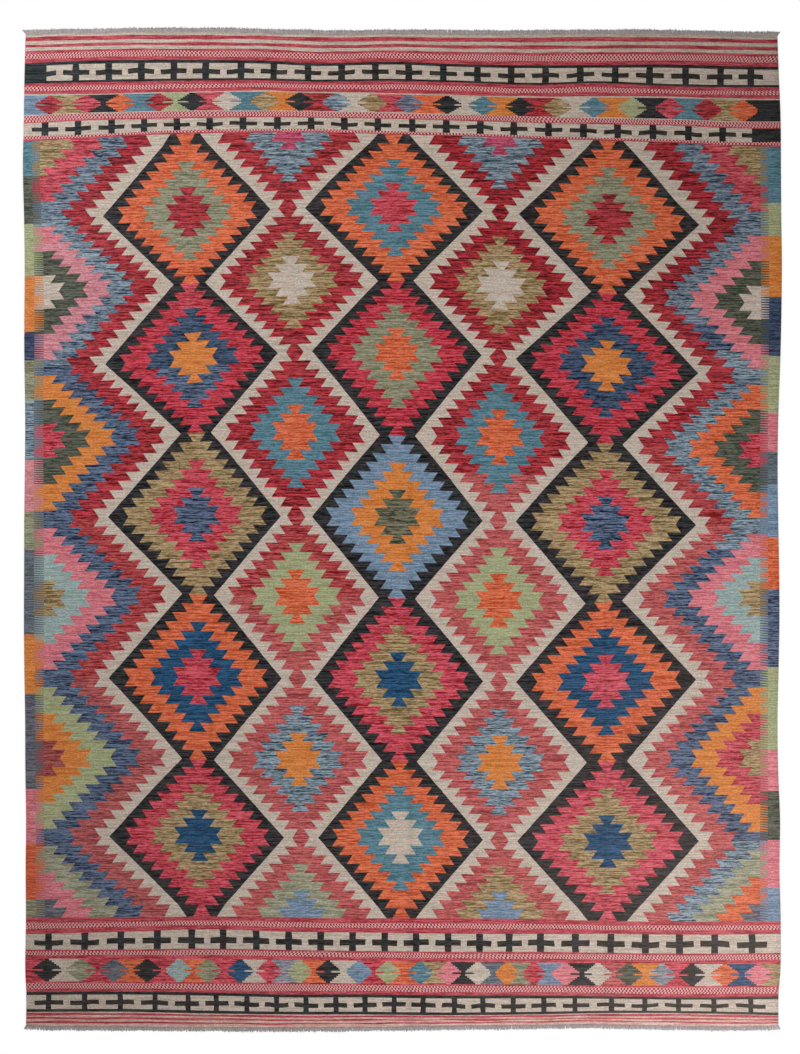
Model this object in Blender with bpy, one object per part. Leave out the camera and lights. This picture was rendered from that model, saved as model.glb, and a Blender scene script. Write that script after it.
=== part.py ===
"""A large flat-woven rug lying flat on the floor, with a short warp fringe at each end.

The woven cloth is one sheet. Its selvedges wander a few millimetres in and out, and its two ends
are a little bowed, as the loom left them. The cut warps past the last weft of each end lie on the
floor as a row of locks, rooted in a narrow strip of their own, a hair's width from the cloth.

+X runs across the rug, +Y along it and +Z is up. The origin is the middle of the rug's outline, at
its underside, so the whole of it rests at z = 0.
"""

import random

import bpy
from mathutils import Vector

COLLECTION = "kilim_rug"

# Driving dimensions, in metres.
CLOTH_WIDTH = 2.994
CLOTH_LENGTH = 3.930
CLOTH_THICKNESS = 0.003
CLEARANCE = 0.0003
STRIP_WIDTH = 0.004
FRINGE_THICKNESS = 0.0024
LOCKS_PER_END = 148
LOCK_ROOT_WIDTH = 0.0125
LOCK_TIP_WIDTH = 0.0060
LOCK_SHORTEST = 0.011
LOCK_LONGEST = 0.018
LOCK_LEAN = 0.005
LOCK_SEED = 3

# Smooth points between two rows of a table below.
STEPS_BETWEEN_ROWS = 3

# How far each selvedge stands out past half the cloth's width, by the place along the rug.
SELVEDGE_COLUMNS = ("along", "left", "right")
SELVEDGES = (
    (-1.97, -0.0060, -0.0080),
    (-1.84, -0.0075, -0.0075),
    (-1.74, -0.0032, 0.0000),
    (-1.54, -0.0059, 0.0008),
    (-1.35, -0.0048, -0.0040),
    (-1.15, -0.0063, -0.0016),
    (-0.95, -0.0036, -0.0091),
    (-0.75, -0.0028, -0.0115),
    (-0.56, 0.0004, -0.0075),
    (-0.36, 0.0020, -0.0040),
    (-0.16, 0.0012, -0.0050),
    (0.04, 0.0008, -0.0087),
    (0.24, -0.0016, -0.0110),
    (0.44, -0.0030, -0.0085),
    (0.73, 0.0008, 0.0012),
    (1.03, -0.0008, 0.0059),
    (1.23, 0.0012, 0.0036),
    (1.43, 0.0059, 0.0020),
    (1.62, 0.0028, 0.0008),
    (1.82, -0.0008, -0.0070),
    (1.97, -0.0045, -0.0120),
)

# How far each end stands out past half the cloth's length, by the place across the rug.
END_COLUMNS = ("across", "near", "far")
ENDS = (
    (-1.50, -0.0036, -0.0020),
    (-1.26, 0.0004, 0.0016),
    (-1.06, 0.0008, 0.0051),
    (-0.86, 0.0024, 0.0051),
    (-0.66, 0.0032, 0.0048),
    (-0.46, 0.0044, -0.0012),
    (-0.27, 0.0036, -0.0044),
    (-0.07, 0.0012, -0.0020),
    (0.13, -0.0020, -0.0024),
    (0.33, -0.0036, -0.0040),
    (0.52, -0.0059, -0.0032),
    (0.72, -0.0091, -0.0012),
    (0.92, -0.0048, -0.0012),
    (1.12, -0.0024, -0.0028),
    (1.32, 0.0004, -0.0079),
    (1.50, -0.0036, -0.0100),
)

# Name, base colour (linear), roughness.
CLOTH_FINISH = ("kilim_wool", (0.42, 0.11, 0.10), 0.95)
FRINGE_FINISH = ("undyed_warp", (0.36, 0.33, 0.32), 0.95)


def clear_scene():
    """Removes whatever the file holds."""
    for thing in list(bpy.data.objects):
        bpy.data.objects.remove(thing, do_unlink=True)


def smooth_value(rows, column, place):
    """A column of a table at a place between its rows, on a smooth curve through them."""
    last = len(rows) - 1
    here = max(i for i in range(last) if rows[i][0] <= place or i == 0)
    before, start, end, after = (rows[min(max(here + k, 0), last)] for k in (-1, 0, 1, 2))
    span = end[0] - start[0]
    t = (place - start[0]) / span
    slope_in = (end[column] - before[column]) / (end[0] - before[0]) * span
    slope_out = (after[column] - start[column]) / (after[0] - start[0]) * span
    rise = end[column] - start[column]
    eased = t * t * (3 - 2 * t)
    return start[column] + rise * eased + t * (1 - t) * (slope_in * (1 - t) - slope_out * t)


def stations(first, last, rows):
    """Evenly spread places from first to last, as many as the table's curve needs."""
    steps = (len(rows) - 1) * STEPS_BETWEEN_ROWS
    return [first + (last - first) * i / steps for i in range(steps + 1)]


def selvedge_x(side, along):
    """Where the cloth's left (-1) or right (+1) edge lies at a place along the rug."""
    column = SELVEDGE_COLUMNS.index("left" if side < 0 else "right")
    return side * (CLOTH_WIDTH / 2 + smooth_value(SELVEDGES, column, along))


def end_y(side, across):
    """Where the cloth's near (-1) or far (+1) end lies at a place across the rug."""
    column = END_COLUMNS.index("near" if side < 0 else "far")
    return side * (CLOTH_LENGTH / 2 + smooth_value(ENDS, column, across))


def end_edge(side):
    """Points of one end of the cloth, from its left corner to its right one."""
    along = side * CLOTH_LENGTH / 2
    left, right = selvedge_x(-1, along), selvedge_x(1, along)
    return [(x, end_y(side, x)) for x in stations(left, right, ENDS)]


def selvedge(side):
    """Points of one selvedge between the cloth's ends, near to far, without its corners."""
    across = side * CLOTH_WIDTH / 2
    near, far = end_y(-1, across), end_y(1, across)
    return [(selvedge_x(side, y), y) for y in stations(near, far, SELVEDGES)[1:-1]]


def cloth_outline():
    """The woven sheet's outline, anticlockwise from its near left corner."""
    return end_edge(-1) + selvedge(1) + end_edge(1)[::-1] + selvedge(-1)[::-1]


def lock_points(side, x, chance):
    """One lock's four points past the strip, its foot wide and its cut end narrower and askew."""
    foot = end_y(side, x) + side * (CLEARANCE + STRIP_WIDTH)
    tip = foot + side * chance.uniform(LOCK_SHORTEST, LOCK_LONGEST)
    tip_x = x + chance.uniform(-LOCK_LEAN, LOCK_LEAN) / 2
    slant = side * chance.uniform(0, LOCK_TIP_WIDTH) / 2
    return [
        (x - LOCK_ROOT_WIDTH / 2, foot),
        (tip_x - LOCK_TIP_WIDTH / 2, tip - slant),
        (tip_x + LOCK_TIP_WIDTH / 2, tip),
        (x + LOCK_ROOT_WIDTH / 2, foot),
    ]


def fringe_outline(side):
    """The outline of one fringe: the strip beside the cloth's end and the locks that grow from it."""
    inner = [(x, y + side * CLEARANCE) for x, y in end_edge(side)]
    left, right = inner[0][0], inner[-1][0]
    pitch = (right - left) / LOCKS_PER_END
    chance = random.Random(LOCK_SEED * side)
    outer = []
    for i in range(LOCKS_PER_END):
        outer += lock_points(side, left + pitch * (i + 0.5), chance)
    return inner + outer[::-1]


def middle(outlines):
    """The middle of the box around all the outlines."""
    xs = [x for outline in outlines for x, _ in outline]
    ys = [y for outline in outlines for _, y in outline]
    return Vector(((min(xs) + max(xs)) / 2, (min(ys) + max(ys)) / 2, 0))


def finish(name, colour, roughness):
    """A plain dielectric material."""
    material = bpy.data.materials.new(name)
    material.use_nodes = True
    shader = material.node_tree.nodes["Principled BSDF"]
    shader.inputs["Base Color"].default_value = (*colour, 1)
    shader.inputs["Roughness"].default_value = roughness
    shader.inputs["Metallic"].default_value = 0
    return material


def lay_sheet(name, outline, thickness, centre, material, collection):
    """A flat closed sheet of the outline's shape, its underside on the floor."""
    curve = bpy.data.curves.new(name, "CURVE")
    curve.dimensions = "2D"
    curve.fill_mode = "BOTH"
    curve.extrude = thickness / 2
    spline = curve.splines.new("POLY")
    spline.points.add(len(outline) - 1)
    for point, (x, y) in zip(spline.points, outline):
        point.co = (x - centre.x, y - centre.y, 0, 1)
    spline.use_cyclic_u = True
    curve.materials.append(material)
    sheet = bpy.data.objects.new(name, curve)
    sheet.location.z = thickness / 2
    collection.objects.link(sheet)
    return sheet


def main():
    clear_scene()
    collection = bpy.data.collections.new(COLLECTION)
    bpy.context.scene.collection.children.link(collection)
    cloth = cloth_outline()
    near_fringe, far_fringe = fringe_outline(-1), fringe_outline(1)
    centre = middle((cloth, near_fringe, far_fringe))
    wool = finish(*CLOTH_FINISH)
    warp = finish(*FRINGE_FINISH)
    lay_sheet("woven_cloth", cloth, CLOTH_THICKNESS, centre, wool, collection)
    lay_sheet("fringe_near", near_fringe, FRINGE_THICKNESS, centre, warp, collection)
    lay_sheet("fringe_far", far_fringe, FRINGE_THICKNESS, centre, warp, collection)


main()
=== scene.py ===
"""The looks of a large flat-woven kilim rug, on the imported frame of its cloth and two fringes.

The cloth is one woven sheet that lies on the floor with a few soft creases. Its pattern is laid the
way it is woven: in courses across the rug, from the far end to the near one. Each course lies
between two lines of the chart and holds a row of areas, each with its own dye. Every area is real
mesh, so the pattern's edges are as sharp as woven ones, and the wool's streaks, the combed side
joins, the twined bands and the weave itself come from the material.

The chart is in millimetres, +x to the right and +y to the far end, from the chart's own zero, which
is the middle of the CAD source's tables. The cloth's outline repeats those tables.
"""

import math
import random

import bpy
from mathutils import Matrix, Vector, noise


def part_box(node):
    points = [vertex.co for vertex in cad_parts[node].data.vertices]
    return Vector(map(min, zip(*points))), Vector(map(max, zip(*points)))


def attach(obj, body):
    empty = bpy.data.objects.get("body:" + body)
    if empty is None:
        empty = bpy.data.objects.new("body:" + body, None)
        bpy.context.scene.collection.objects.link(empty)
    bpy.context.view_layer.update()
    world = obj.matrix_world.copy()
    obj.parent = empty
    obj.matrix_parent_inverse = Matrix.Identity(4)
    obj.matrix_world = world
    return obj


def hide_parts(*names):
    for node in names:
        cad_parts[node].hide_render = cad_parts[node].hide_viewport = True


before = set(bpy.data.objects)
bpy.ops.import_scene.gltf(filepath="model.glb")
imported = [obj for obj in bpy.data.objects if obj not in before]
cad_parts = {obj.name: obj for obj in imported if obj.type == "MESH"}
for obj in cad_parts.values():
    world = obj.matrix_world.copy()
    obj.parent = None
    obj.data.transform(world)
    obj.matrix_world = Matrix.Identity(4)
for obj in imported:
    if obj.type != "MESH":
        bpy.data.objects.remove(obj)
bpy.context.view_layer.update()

MM = 0.001
DISPLAY_WHITE = 255

# ---- the cloth's outline, as in the CAD
CLOTH_WIDTH = 2.994
CLOTH_LENGTH = 3.930
CLOTH_THICKNESS = 0.003
FRINGE_GAP = 0.0003
HALF_WIDTH = CLOTH_WIDTH / 2 / MM

# How far each selvedge stands out past half the cloth's width: along the rug, left, right.
SELVEDGES = (
    (-1.97, -0.0060, -0.0080), (-1.84, -0.0075, -0.0075), (-1.74, -0.0032, 0.0000),
    (-1.54, -0.0059, 0.0008), (-1.35, -0.0048, -0.0040), (-1.15, -0.0063, -0.0016),
    (-0.95, -0.0036, -0.0091), (-0.75, -0.0028, -0.0115), (-0.56, 0.0004, -0.0075),
    (-0.36, 0.0020, -0.0040), (-0.16, 0.0012, -0.0050), (0.04, 0.0008, -0.0087),
    (0.24, -0.0016, -0.0110), (0.44, -0.0030, -0.0085), (0.73, 0.0008, 0.0012),
    (1.03, -0.0008, 0.0059), (1.23, 0.0012, 0.0036), (1.43, 0.0059, 0.0020),
    (1.62, 0.0028, 0.0008), (1.82, -0.0008, -0.0070), (1.97, -0.0045, -0.0120),
)

# How far each end stands out past half the cloth's length: across the rug, near, far.
ENDS = (
    (-1.50, -0.0036, -0.0020), (-1.26, 0.0004, 0.0016), (-1.06, 0.0008, 0.0051),
    (-0.86, 0.0024, 0.0051), (-0.66, 0.0032, 0.0048), (-0.46, 0.0044, -0.0012),
    (-0.27, 0.0036, -0.0044), (-0.07, 0.0012, -0.0020), (0.13, -0.0020, -0.0024),
    (0.33, -0.0036, -0.0040), (0.52, -0.0059, -0.0032), (0.72, -0.0091, -0.0012),
    (0.92, -0.0048, -0.0012), (1.12, -0.0024, -0.0028), (1.32, 0.0004, -0.0079),
    (1.50, -0.0036, -0.0100),
)

# ---- the chart's lines, in millimetres
# The far border: a place across the rug, then the far edge of the black band, its near edge, the
# far and near edges of the small diamonds, of the inner crosses, and the field's far end.
FAR_LINES = (
    (-1491, 1847, 1767, 1719, 1641, 1609, 1560, 1538),
    (-1253, 1858, 1772, 1722, 1652, 1621, 1565, 1551),
    (-912, 1862, 1778, 1730, 1660, 1629, 1582, 1567),
    (-544, 1858, 1780, 1735, 1661, 1634, 1587, 1573),
    (-338, 1848, 1775, 1730, 1659, 1632, 1587, 1574),
    (-41, 1854, 1778, 1725, 1654, 1628, 1579, 1567),
    (208, 1845, 1772, 1719, 1647, 1621, 1572, 1560),
    (521, 1840, 1762, 1711, 1637, 1612, 1561, 1549),
    (779, 1841, 1769, 1712, 1634, 1606, 1553, 1543),
    (1052, 1843, 1757, 1710, 1628, 1602, 1546, 1533),
    (1325, 1836, 1753, 1703, 1618, 1590, 1536, 1520),
    (1487, 1834, 1753, 1702, 1617, 1588, 1536, 1517),
)
FIELD_FAR = 7

# The near border: a place across the rug, then the field's near end, the far and near edges of the
# inner crosses, of the small diamonds, and of the black-edged band.
NEAR_LINES = (
    (-1487, -1535, -1601, -1662, -1691, -1794, -1830, -1909),
    (-1118, -1534, -1592, -1662, -1693, -1794, -1828, -1908),
    (-774, -1531, -1582, -1658, -1693, -1798, -1832, -1915),
    (-425, -1536, -1592, -1664, -1697, -1799, -1840, -1919),
    (-172, -1538, -1594, -1667, -1700, -1801, -1839, -1919),
    (185, -1538, -1599, -1671, -1705, -1805, -1844, -1922),
    (565, -1542, -1600, -1671, -1708, -1807, -1844, -1918),
    (818, -1549, -1600, -1675, -1710, -1810, -1847, -1913),
    (1175, -1552, -1603, -1678, -1713, -1812, -1851, -1915),
    (1491, -1549, -1600, -1675, -1713, -1810, -1847, -1922),
)
FIELD_NEAR = 1

# The field's weft lines: a place across the rug, and then where each line lies there that has this
# many courses of the field above it.
LINE_COURSES = (1, 6, 9, 18, 27, 36, 45, 54, 63, 72, 81, 89)
FIELD_LINES = (
    (-1491, 1502, 1331, 1229, 938, 637, 352, 39, -274, -588, -907, -1218, -1499),
    (-1356, 1504, 1336, 1235, 946, 645, 358, 43, -270, -588, -905, -1217, -1496),
    (-1158, 1510, 1343, 1243, 958, 657, 367, 51, -266, -586, -902, -1214, -1490),
    (-940, 1521, 1355, 1255, 969, 674, 378, 57, -253, -580, -903, -1208, -1483),
    (-742, 1530, 1361, 1257, 982, 689, 388, 58, -258, -582, -911, -1209, -1485),
    (-524, 1537, 1378, 1269, 988, 699, 393, 55, -262, -588, -911, -1218, -1493),
    (-326, 1538, 1382, 1276, 992, 708, 389, 52, -262, -590, -910, -1219, -1499),
    (-89, 1531, 1376, 1280, 986, 706, 376, 51, -268, -591, -913, -1214, -1497),
    (89, 1526, 1369, 1275, 986, 701, 372, 50, -274, -595, -919, -1216, -1500),
    (291, 1522, 1357, 1263, 973, 693, 373, 37, -276, -599, -923, -1226, -1502),
    (482, 1515, 1345, 1250, 962, 675, 367, 33, -279, -603, -923, -1234, -1505),
    (723, 1506, 1333, 1236, 946, 661, 347, 29, -291, -600, -922, -1236, -1508),
    (941, 1503, 1324, 1228, 926, 644, 334, 23, -275, -598, -912, -1233, -1513),
    (1139, 1494, 1304, 1211, 914, 623, 323, 19, -269, -593, -904, -1232, -1516),
    (1337, 1483, 1296, 1201, 901, 610, 318, 15, -266, -591, -902, -1233, -1518),
    (1487, 1479, 1294, 1196, 895, 601, 312, 14, -266, -590, -901, -1234, -1517),
)

# ---- the field's diamonds, millimetres
COURSES = 90
COURSES_PER_HALF = 9
COURSES_PER_DIAMOND = 2 * COURSES_PER_HALF
LAST_COLUMN = 6
SIDE_MIDDLES = (-1431, 1428)

# The straight edges between the columns of diamonds: how many courses lie above, and then where each
# edge lies there. Dark columns and light ones take turns, the light half diamonds of the two sides
# among them.
COLUMN_EDGES = (
    (0, -919, -801, -97, 28, 755, 874),
    (9, -1186, -522, -386, 319, 461, 1176),
    (18, -906, -781, -97, 44, 747, 878),
    (27, -1177, -493, -358, 314, 449, 1172),
    (36, -878, -758, -89, 50, 735, 872),
    (45, -1166, -482, -358, 318, 449, 1163),
    (54, -872, -746, -93, 50, 725, 870),
    (63, -1163, -478, -349, 320, 450, 1163),
    (72, -873, -746, -81, 57, 730, 889),
    (81, -1160, -469, -334, 319, 454, 1174),
    (90, -855, -734, -63, 53, 734, 889),
)

# Each ring of a diamond, innermost first: its half width beside the middle line as a share of the
# diamond's own, and how many courses it has on each side of that line.
RINGS = ((0.277, 3), (0.542, 6), (0.832, 9))
COLUMN_RINGS = {4: ((0.276, 3), (0.525, 6), (0.814, 9))}

# How far each column's rings stand to the right of its middle, innermost first.
RING_LEANS = {1: (7, 3, 1), 4: (-5, -5, -2)}
LAST_TOOTH = 36
TOOTH = 23.5
HAND = 3.1
WAVER = 1.3

# The side columns' rings, innermost first, by their courses alone: the last course of each stands
# this share of the half diamond's reach from the middle, and each course before it a step more.
SIDE_RINGS = (2, 5, 8, 11, 14)
SIDE_FIRST_SHARE, SIDE_STEP_SHARE = 0.1185, 0.0592

# The rings that the far border cuts off, innermost first: first half width, last one, courses.
CUT_LIGHT_RINGS = ((70, 37, 2), (174, 36, 6), (284, 37, 9))
CUT_LEFT_RINGS = ((136, 32, 4), (245, 65, 7), (347, 70, 10), (439, 80, 13))
CUT_RIGHT_RINGS = ((145, 44, 4), (253, 68, 7), (358, 82, 10), (475, 78, 13))

# The dyes of each column's diamonds by row, outer ring to centre.
LEFT_DYES = (
    "claret steel rose olive olive", "claret steel pink moss cream", "claret denim amber moss crimson",
    "madder denim pink aqua olive", "brick denim lime amber maroon", "brick denim sage pink slate",
)
DARK_SIDE_DYES = (
    "orange sage claret", "crimson denim amber", "olive crimson denim", "orange royal crimson",
    "crimson olive royal",
)
LIGHT_LEFT_DYES = (
    "claret steel raspberry", "claret olive cream", "claret teal orange", "madder lime orange",
    "brick steel amber", "brick sage cornflower",
)
DARK_MIDDLE_DYES = (
    "orange teal crimson", "crimson sage orange", "cornflower amber moss", "crimson olive royal",
    "orange teal cream",
)
LIGHT_RIGHT_DYES = (
    "claret steel raspberry", "claret olive cream", "madder teal orange", "brick lime orange",
    "brick steel amber", "brick olive cornflower",
)
RIGHT_DYES = (
    "claret steel rose olive olive", "claret steel pink moss cream", "madder steel orange moss crimson",
    "brick denim pink aqua olive", "brick denim amber rose olive", "brick steel sage orange slate",
)
RING_DYES = (
    LEFT_DYES, DARK_SIDE_DYES, LIGHT_LEFT_DYES, DARK_MIDDLE_DYES, LIGHT_RIGHT_DYES, DARK_SIDE_DYES,
    RIGHT_DYES,
)

# Where the weaver took up another lot of a wool: the wool, its columns, the first course with the
# new lot, the first course after it, and the new lot.
LOT_CHANGES = (
    ("claret", (0,), 0, 3, "wine"), ("claret", (4,), 0, 21, "wine"),
    ("claret", (6,), 0, 18, "wine"), ("claret", (6,), 36, 39, "madder"),
    ("madder", (4,), 26, 40, "claret"), ("madder", (4,), 40, 46, "brick"),
    ("madder", (6,), 26, 36, "claret"), ("madder", (2,), 54, 64, "brick"),
    ("brick", (0,), 62, 92, "russet"), ("steel", (0,), 0, 9, "storm"),
    ("steel", (0,), 18, 28, "storm"), ("steel", (4,), 78, 81, "storm"),
    ("steel", (6,), 0, 21, "storm"), ("steel", (6,), 21, 24, "denim"),
    ("steel", (6,), 27, 30, "storm"), ("denim", (6,), 45, 48, "steel"),
    ("denim", (1,), 20, 28, "indigo"), ("denim", (5,), 20, 34, "indigo"),
    ("crimson", (1,), 21, 37, "cardinal"), ("crimson", (3, 5), 18, 37, "cardinal"),
    ("crimson", (5,), 62, 92, "cerise"), ("sage", (0, 2, 6), 81, 92, "celadon"),
    ("pink", (0,), 12, 28, "petal"), ("moss", (3,), 40, 60, "mottled"),
)

# ---- the side borders, millimetres
# A place along the rug, then the left blocks' inner edge and their comb's, and the right comb's inner
# edge and the blocks'.
SIDE_EDGES = (
    (-1426, -1451, -1415, 1416, 1448),
    (-911, -1452, -1421, 1416, 1448),
    (-246, -1459, -1419, 1416, 1448),
    (396, -1459, -1422, 1416, 1448),
    (970, -1458, -1420, 1420, 1453),
    (1405, -1467, -1435, 1417, 1448),
)
LEFT_BLOCK, LEFT_COMB, RIGHT_COMB, RIGHT_BLOCK = range(1, 5)

BLOCK_MIDDLE = 20
SMALLEST_STOP = 0.12
MIDDLE_STOP = (0.25, 0.75)

# The blocks of the left (-1) and the right (+1) side: a block's near end and its dye.
LEFT_BLOCKS = (
    (1401, "teal"), (1211, "moss"), (1005, "lime"), (784, "amber"), (669, "navy"),
    (514, "sage"), (277, "steel"), (71, "blush"), (-80, "sage"), (-412, "pewter"),
    (-650, "amber"), (-1026, "slate"), (-1244, "pink"), (-1466, "rust"), (-1600, "sage"),
)
RIGHT_BLOCKS = (
    (1291, "teal"), (1162, "lime"), (922, "amber"), (689, "navy"), (463, "lime"),
    (308, "pink"), (182, "pewter"), (-28, "cornflower"), (-234, "orange"), (-543, "denim"),
    (-872, "lime"), (-1034, "pink"), (-1228, "moss"), (-1418, "pink"), (-1600, "cornflower"),
)
SIDE_BLOCKS = {-1: LEFT_BLOCKS, 1: RIGHT_BLOCKS}

# ---- the end borders, millimetres
BAR_WIDTH = 26.5
NARROW_BAR_WIDTH = 20.5
BAR_WAVER = 1.4
ARM_SHARE = 0.40
ARMS_FROM, ARMS_TO = 0.37, 0.69
ARM_WANDER, ARM_WANDER_LENGTH = 7, 75
ARM_WAVER = 2
STRIPE_WANDER, STRIPE_WANDER_LENGTH = 3.2, 130
WANDER_LANE, WANDER_SEED, STRIPE_SEED = 0.5, 10, 3
FAR_OUTER_CROSSES = (
    -1293, -1163, -1034, -905, -779, -639, -510, -374, -241, -107, 25,
    162, 297, 431, 567, 704, 843, 979, 1122, 1260, 1380,
)
FAR_INNER_CROSSES = (
    -1415, -1285, -1152, -1023, -893, -763, -631, -495, -362, -230, -97,
    39, 174, 308, 441, 578, 717, 852, 992, 1133, 1268,
)
NEAR_INNER_CROSSES = (
    -1401, -1258, -1115, -971, -834, -710, -579, -450, -323, -198, -70,
    54, 181, 305, 423, 547, 685, 825, 962, 1097, 1236, 1385,
)
NEAR_OUTER_CROSSES = (
    -1401, -1258, -1117, -980, -849, -737, -616, -498, -382, -263, -148,
    -33, 82, 206, 319, 439, 560, 683, 828, 959, 1094, 1234, 1380,
)
# Where a dark block ends beside the bars of its band, and beside their arms.
FAR_OUTER_BLOCK = (-1409, -1371)
FAR_INNER_BLOCK = (1384, 1344)

# The plain edges of some bands: the shares of the way through the band where the first one ends and
# the second one begins, and their dye.
FAR_BLACK_EDGES = (0.15, 0.89, "ink")
NEAR_GEMS_EDGES = (0.06, 0.94, "crimson")
NEAR_BLACK_EDGES = (0.15, 0.86, "ink")
NO_EDGES = (0, 1, None)

# The striped bands, from the far one to the near one: the share of the way through the band where
# each stripe ends, and its dye.
FAR_END_STRIPES = (
    (0.10, "cream"), (0.246, "border_red"), (0.361, "cream"), (0.473, "border_red"),
    (0.586, "cream"), (0.67, "border_red"), (0.872, "twined"), (1, "border_red"),
)
FAR_BLACK_STRIPES = ((0.27, "border_red"), (0.62, "twined"), (0.90, "border_red"), (1, "cream"))
FAR_CROSS_STRIPES = ((0.10, "cream"), (0.84, "twined"), (1, "border_red"))
FAR_FIELD_STRIPES = ((0.7, "twined"), (1, "border_red"))
NEAR_FIELD_STRIPES = ((0.33, "border_red"), (0.66, "twined"), (1, "border_red"))
NEAR_CROSS_STRIPES = ((0.2, "border_red"), (0.75, "twined"), (1, "border_red"))
NEAR_BLACK_STRIPES = ((0.66, "twined"), (1, "border_red"))
NEAR_END_STRIPES = (
    (0.08, "border_worn"), (0.24, "border_red"), (0.38, "border_worn"), (0.52, "border_red"),
    (0.67, "border_worn"), (0.80, "border_red"), (1, "border_worn"),
)

# Small diamonds: the middle, its dye, and the dye of the ground on its right.
FAR_GEMS_START = "cornflower"
FAR_GEMS = (
    (-1396, "claret", "olive"), (-1253, "rose", "ink"), (-1116, "orange", "teal"),
    (-964, "claret", "lime"), (-833, "ink", "rose"), (-695, "cream", "teal"),
    (-544, "olive", "amber"), (-406, "ink", "claret"), (-259, "steel", "cream"),
    (-120, "olive", "rose"), (26, "violet", "orange"), (177, "ink", "cream"),
    (319, "teal", "amber"), (466, "ink", "claret"), (612, "olive", "cream"),
    (759, "teal", "amber"), (909, "lime", "ink"), (1060, "crimson", "teal"),
    (1206, "claret", "olive"), (1349, "orange", "ink"),
)
NEAR_GEMS_START = "crimson"
NEAR_GEMS = (
    (-1408, "ink", "cream"), (-1273, "sage", "crimson"), (-1142, "slate", "orange"),
    (-1011, "ink", "crimson"), (-885, "aqua", "orange"), (-770, "sage", "crimson"),
    (-643, "royal", "cream"), (-528, "crimson", "dove"), (-407, "lime", "orange"),
    (-295, "ink", "cream"), (-172, "cornflower", "crimson"), (-57, "lime", "orange"),
    (70, "teal", "olive"), (183, "pink", "ink"), (299, "cream", "pewter"),
    (414, "amber", "sage"), (521, "crimson", "cornflower"), (646, "pink", "ink"),
    (775, "cream", "brick"), (897, "moss", "amber"), (1028, "dove", "crimson"),
    (1147, "ink", "cream"), (1277, "orange", "royal"), (1412, "pink", "olive"),
)
GEM_STEPS = 6
GEM_HALF_WIDTH = 57
GEM_WAIST = 16
GEM_TIP = 10
GEM_WAVER = 1.5
PIN_HEIGHT = 0.50
PIN_REACH = (30, 52)
PIN_CHANCE = 0.85
PIN_BLUNT = 0.75
NO_PIN = 2

# ---- the dyes
# Each wool's darker and lighter streaks, as display values.
DYES = {
    "cream": ((164, 150, 137), (195, 181, 169)), "black": ((0, 2, 4), (62, 60, 62)),
    "ink": ((4, 8, 10), (52, 55, 58)), "umber": ((12, 13, 12), (60, 58, 54)),
    "claret": ((77, 0, 2), (188, 65, 74)), "wine": ((60, 0, 0), (182, 53, 65)),
    "madder": ((112, 8, 16), (186, 86, 88)), "brick": ((124, 46, 46), (198, 104, 104)),
    "russet": ((113, 46, 48), (190, 102, 102)), "maroon": ((108, 34, 32), (170, 94, 92)),
    "crimson": ((126, 0, 16), (210, 90, 104)), "cardinal": ((118, 0, 6), (205, 74, 90)),
    "rose": ((122, 8, 22), (206, 94, 106)), "cerise": ((128, 18, 30), (213, 98, 112)),
    "pink": ((170, 84, 94), (214, 132, 140)), "petal": ((161, 94, 104), (206, 142, 150)),
    "blush": ((172, 108, 112), (207, 141, 146)), "raspberry": ((124, 24, 52), (192, 92, 120)),
    "orange": ((160, 60, 28), (220, 118, 84)), "rust": ((166, 66, 30), (208, 106, 78)),
    "amber": ((176, 98, 40), (212, 134, 74)), "olive": ((92, 74, 40), (180, 154, 118)),
    "sage": ((98, 96, 72), (152, 150, 128)), "celadon": ((110, 108, 86), (164, 162, 141)),
    "lime": ((131, 135, 98), (166, 168, 132)), "moss": ((36, 44, 34), (99, 100, 88)),
    "mottled": ((36, 42, 30), (130, 124, 102)), "aqua": ((118, 137, 133), (157, 172, 170)),
    "teal": ((54, 93, 102), (102, 134, 150)), "steel": ((32, 50, 64), (146, 162, 174)),
    "storm": ((16, 34, 56), (134, 148, 162)), "slate": ((54, 60, 76), (116, 114, 120)),
    "pewter": ((62, 72, 80), (110, 116, 126)), "dove": ((82, 88, 98), (158, 156, 164)),
    "denim": ((0, 17, 42), (104, 119, 145)), "indigo": ((0, 10, 36), (78, 96, 122)),
    "navy": ((22, 33, 56), (74, 86, 112)), "royal": ((0, 40, 64), (50, 90, 126)),
    "cornflower": ((80, 104, 122), (132, 149, 172)), "violet": ((48, 60, 76), (130, 134, 152)),
    "border_red": ((136, 34, 46), (190, 84, 94)), "border_worn": ((178, 132, 124), (208, 176, 165)),
    "twine_red": ((122, 26, 42), (122, 26, 42)), "twine_cream": ((213, 153, 152), (213, 153, 152)),
}
PLAIN, COMB, TWINE = 0, 1, 2
SAME_CRAFT = 0.4
FRINGE_TONES = ((135, 125, 125), (194, 183, 182))

# ---- the cloth's mesh
MERGE = 0.4
RIM_GAP = 1
FILL = 32
EDGE_ROUND = 0.0012
SEED = 11
# The cloth's soft creases along it: the place across, half the width and the height of each.
CREASES = ((-0.040, 0.030, 0.0022), (0.782, 0.026, 0.0012))
CREASE_BEND, CREASE_SWELL = 0.012, 0.4
BEND_SEED, BEND_RATE = 7, 1.3
SWELL_SEED, SWELL_RATE, SWELL_LANE = 5, 0.9, 8.1
WAVE_HEIGHT, WAVE_FLOOR = 0.0016, 0.05
WAVE_LENGTH, WAVE_LANE = 0.55, 3.7
OUTLINE_STEP = 10

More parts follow.
